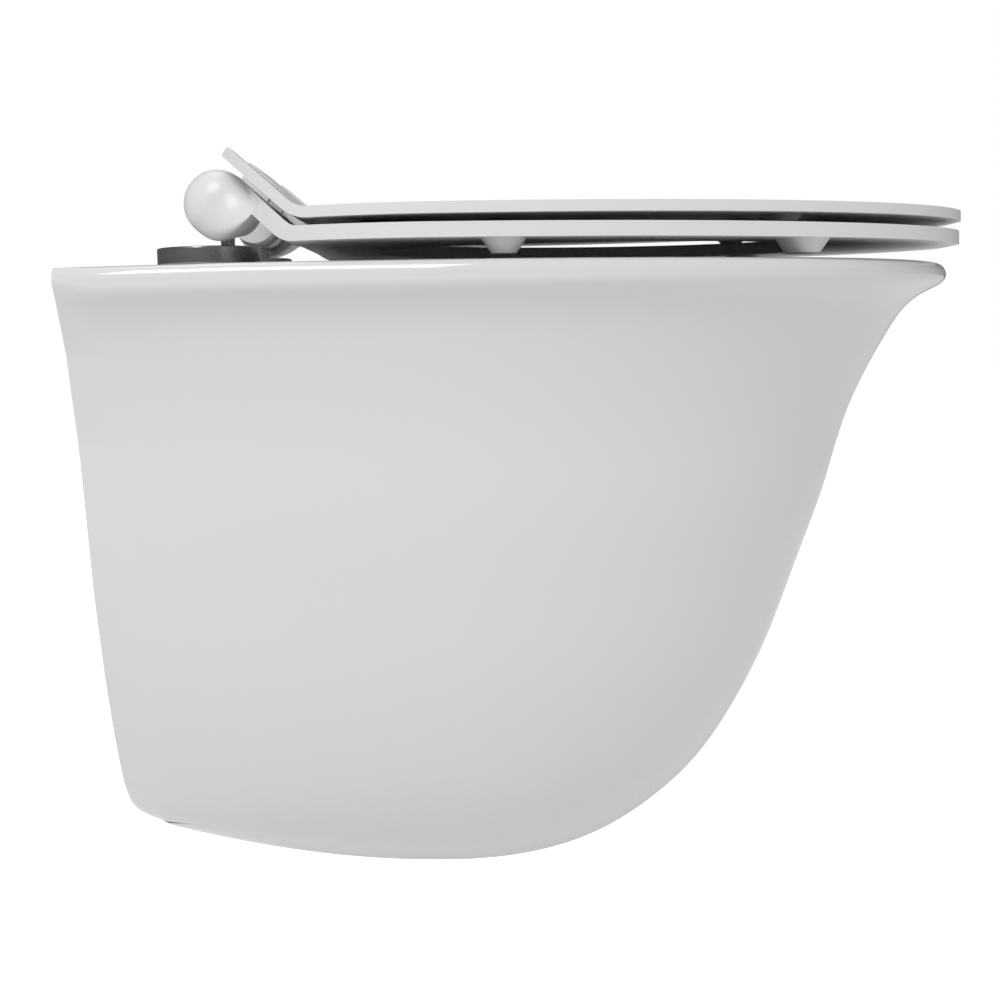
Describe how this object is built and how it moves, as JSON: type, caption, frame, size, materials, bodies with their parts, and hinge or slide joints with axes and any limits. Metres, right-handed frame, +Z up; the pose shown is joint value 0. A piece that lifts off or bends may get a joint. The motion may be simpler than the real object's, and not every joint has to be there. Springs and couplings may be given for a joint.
{
  "type": "wall hung toilet",
  "caption": "Wall hung toilet pan with a rounded skirted underside, hinged slim seat and lid on chrome hinge posts, and buffers.",
  "frame": {"origin": "midway between the two wall bolts, in the plane of the wall face", "axes": "+Z up, +Y from the front of the toilet into the wall, +X across, to the right of someone who faces the wall"},
  "size_m": [0.362, 0.52, 0.4326],
  "materials": {
    "glaze": "gloss",
    "seat_white": "gloss",
    "buffer_white": "satin",
    "chrome_trim": "polished",
    "steel": "satin",
    "zinc_steel": "satin",
    "grey_plastic": "matte",
    "black_rubber": "matte"
  },
  "bodies": {
    "pan": {"pan_deck": "glaze", "pan_bowl": "glaze", "pan_back": "glaze", "pan_trap": "glaze", "pan_skirt": "glaze", "bolt_sleeves": "grey_plastic", "bolt_washers": "zinc_steel", "bolt_nuts": "zinc_steel", "hinge_gaskets": "black_rubber", "hinge_studs": "steel", "hinge_plugs": "black_rubber", "hinge_nuts": "grey_plastic", "hinge_base_left": "chrome_trim", "hinge_barrel_left": "chrome_trim", "hinge_base_right": "chrome_trim", "hinge_barrel_right": "chrome_trim"},
    "seat": {"seat": "seat_white", "seat_pin_left": "steel", "seat_pin_right": "steel", "seat_buffers_rear": "buffer_white", "seat_buffers_front": "buffer_white"},
    "lid": {"lid": "seat_white", "lid_pin_left": "steel", "lid_pin_right": "steel", "lid_buffers_rear": "buffer_white", "lid_buffers_front": "buffer_white"}
  },
  "joints": [
    {"name": "seat_hinge", "type": "hinge", "parent": "pan", "child": "seat", "pos_m": [0, -0.082, 0.12], "axis": [-1, 0, 0], "range_deg": [0, 98]},
    {"name": "lid_hinge", "type": "hinge", "parent": "seat", "child": "lid", "pos_m": [0, -0.082, 0.12], "axis": [-1, 0, 0], "range_deg": [0, 98]}
  ]
}
